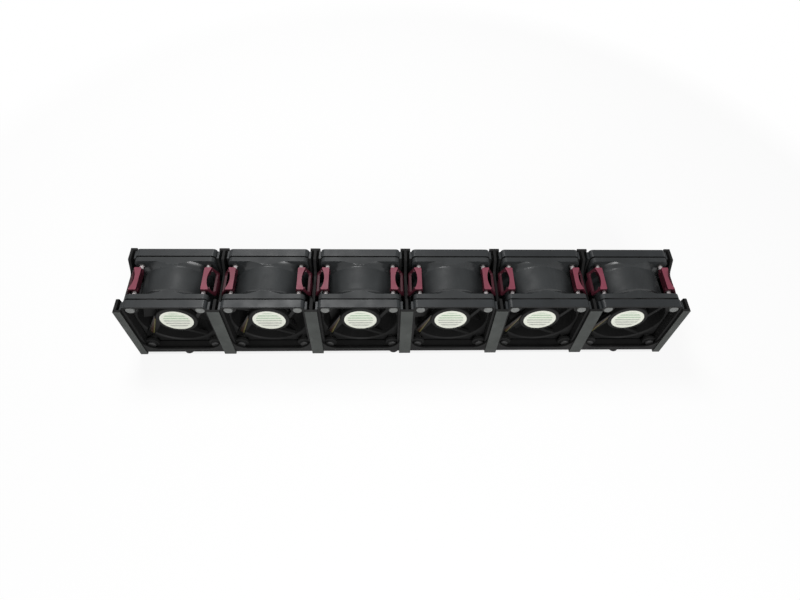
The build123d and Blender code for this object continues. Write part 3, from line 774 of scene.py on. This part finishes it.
class FANCAGE_OT_isolators(bpy.types.Operator):
    """Dress the rubber isolators at each fan's corners"""

    bl_idname = "fan_cage.isolators"
    bl_label = "Isolators"

    def execute(self, context):
        finish, sizes = settings()
        pale = rubber("isolator_rubber", finish.isolator)
        shaded_head = rubber("shaded_head_rubber", finish.isolator_shaded_head)
        dark = rubber("shaded_dark_rubber", finish.isolator_shaded_dark)
        for bay in BAYS:
            self.add_isolators(bay, sizes, [pale, shaded_head, dark])
        return {"FINISHED"}

    def add_isolators(self, bay, sizes, materials):
        pale, shaded_head, dark = range(len(materials))
        low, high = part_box(f"fan_housing_{bay}")
        middle = (low + high) / 2

        # Painted shade: the upper heads outside the fan take the grey, shaded copy; the lower isolators and
        # the upper barbs take the dark copy; only the upper thin tails keep the pale rubber.
        def paint(mesh):
            for solid in islands(mesh):
                corners = {vertex for face in solid for vertex in face.verts}
                axis = sum((vertex.co.xz for vertex in corners), Vector((0, 0))) / len(corners)
                upper = axis.y > middle.z
                for face in solid:
                    thin = all((vertex.co.xz - axis).length < sizes.tail_radius for vertex in face.verts)
                    outside = not low.y < face.calc_center_median().y < high.y
                    if upper and outside:
                        face.material_index = shaded_head
                    else:
                        face.material_index = pale if upper and thin else dark

        dressed_node(
            f"isolators_{bay}",
            f"rubber_isolators_{bay}",
            f"module_{bay}",
            materials,
            sizes.rubber_edge,
            paint,
        )


class FANCAGE_OT_latches(bpy.types.Operator):
    """Dress the two latches of each module"""

    bl_idname = "fan_cage.latches"
    bl_label = "Latches"

    def execute(self, context):
        finish, sizes = settings()
        top = moulded_plastic(
            "latch_plastic", finish.latch, roughness=0.42, grain=0.02, wear=1.35, shine=0.16
        )
        shaded_sides = moulded_plastic(
            "latch_shaded_side_plastic", finish.latch_shaded_side, roughness=0.42, grain=0.02, wear=2.6, shine=0.14
        )
        for bay in BAYS:
            for side in ("left", "right"):
                self.add_latch(side, bay, sizes, [top, shaded_sides])
        return {"FINISHED"}

    def add_latch(self, side, bay, sizes, materials):
        node = f"latch_{side}_{bay}"
        top_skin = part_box(node)[1].z - sizes.skin

        # Painted shade: every face below the top plate's skin takes the darker, shaded copy of the
        # burgundy.
        def paint(mesh):
            for face in mesh.faces:
                face.material_index = int(face.calc_center_median().z < top_skin)

        dressed_node(
            node,
            f"squeeze_latch_{side}_{bay}",
            f"{side}_lever_{bay}",
            materials,
            sizes.latch_edge,
            paint,
        )


class FANCAGE_OT_hub_labels(bpy.types.Operator):
    """Add the paper disc on each hub"""

    bl_idname = "fan_cage.hub_labels"
    bl_label = "Hub labels"

    def execute(self, context):
        finish, sizes = settings()
        paper = label_paper("label_paper", finish.label, finish.print_high, finish.print_low)
        for bay in BAYS:
            self.add_label(bay, sizes, paper)
        return {"FINISHED"}

    def add_label(self, bay, sizes, paper):
        low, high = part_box(f"fan_housing_{bay}")
        middle = (low + high) / 2
        mesh = bmesh.new()
        radius = sizes.label_diameter / 2
        bmesh.ops.create_circle(mesh, cap_ends=True, radius=radius, segments=LABEL_SIDES)
        layer = mesh.loops.layers.uv.new("label")
        made = bmesh.ops.extrude_face_region(mesh, geom=mesh.faces[:])
        raised = [item for item in made["geom"] if isinstance(item, bmesh.types.BMVert)]
        bmesh.ops.translate(mesh, verts=raised, vec=(0, 0, sizes.label_thickness))
        bmesh.ops.recalc_face_normals(mesh, faces=mesh.faces[:])
        for face in mesh.faces:
            for loop in face.loops:
                loop[layer].uv = loop.vert.co.xy / sizes.label_diameter + Vector((0.5, 0.5))
        to_front = Matrix.Rotation(math.radians(90), 4, "X")
        on_hub = Matrix.Translation((middle.x, low.y, middle.z))
        bmesh.ops.transform(mesh, matrix=on_hub @ to_front, verts=mesh.verts)
        finished_piece(mesh, f"hub_label_{bay}", f"module_{bay}", [paper])


class FANCAGE_OT_plugs_and_leads(bpy.types.Operator):
    """Dress the plug of each module and its coloured leads"""

    bl_idname = "fan_cage.plugs_and_leads"
    bl_label = "Plugs and leads"

    def execute(self, context):
        finish = context.scene.fan_cage_finish
        materials = [
            moulded_plastic("plug_plastic", finish.plug, roughness=0.4, grain=0.02),
            sleeve("yellow_sleeve", finish.lead_yellow),
            sleeve("red_sleeve", finish.lead_red),
            sleeve("brown_sleeve", finish.lead_brown),
            sleeve("black_sleeve", finish.lead_black),
        ]
        for bay in BAYS:
            dressed_node(
                f"plug_and_leads_{bay}",
                f"plug_with_leads_{bay}",
                f"module_{bay}",
                materials,
                paint=self.paint,
            )
        return {"FINISHED"}

    def paint(self, mesh):
        """One material for each solid, from the plug up."""
        solids = sorted(islands(mesh), key=lambda solid: max(face.calc_center_median().z for face in solid))
        for index, solid in enumerate(solids):
            for face in solid:
                face.material_index = index


class FANCAGE_PT_sidebar(bpy.types.Panel):
    """Buttons for each step of the fan cage"""

    bl_idname = "FANCAGE_PT_sidebar"
    bl_label = "Fan cage"
    bl_space_type = "VIEW_3D"
    bl_region_type = "UI"
    bl_category = "Fan Cage"

    def draw(self, context):
        for step in STEPS:
            self.layout.operator(step.bl_idname)


GROUPS = {
    "fan_cage_finish": FanCageFinish,
    "fan_cage_sizes": FanCageSizes,
    "fan_cage_stage": FanCageStage,
}
STEPS = (
    FANCAGE_OT_stage,
    FANCAGE_OT_cage,
    FANCAGE_OT_carriers,
    FANCAGE_OT_fan_housings,
    FANCAGE_OT_impellers,
    FANCAGE_OT_motors,
    FANCAGE_OT_isolators,
    FANCAGE_OT_latches,
    FANCAGE_OT_hub_labels,
    FANCAGE_OT_plugs_and_leads,
)


def register():
    for name, group in GROUPS.items():
        bpy.utils.register_class(group)
        setattr(bpy.types.Scene, name, PointerProperty(type=group))
    for step in STEPS:
        bpy.utils.register_class(step)
    bpy.utils.register_class(FANCAGE_PT_sidebar)


def unregister():
    bpy.utils.unregister_class(FANCAGE_PT_sidebar)
    for step in reversed(STEPS):
        bpy.utils.unregister_class(step)
    for name, group in GROUPS.items():
        delattr(bpy.types.Scene, name)
        bpy.utils.unregister_class(group)


def main():
    register()
    bpy.ops.fan_cage.stage()
    bpy.ops.fan_cage.cage()
    bpy.ops.fan_cage.carriers()
    bpy.ops.fan_cage.fan_housings()
    bpy.ops.fan_cage.impellers()
    bpy.ops.fan_cage.motors()
    bpy.ops.fan_cage.isolators()
    bpy.ops.fan_cage.latches()
    bpy.ops.fan_cage.hub_labels()
    bpy.ops.fan_cage.plugs_and_leads()


if __name__ == "__main__":
    main()
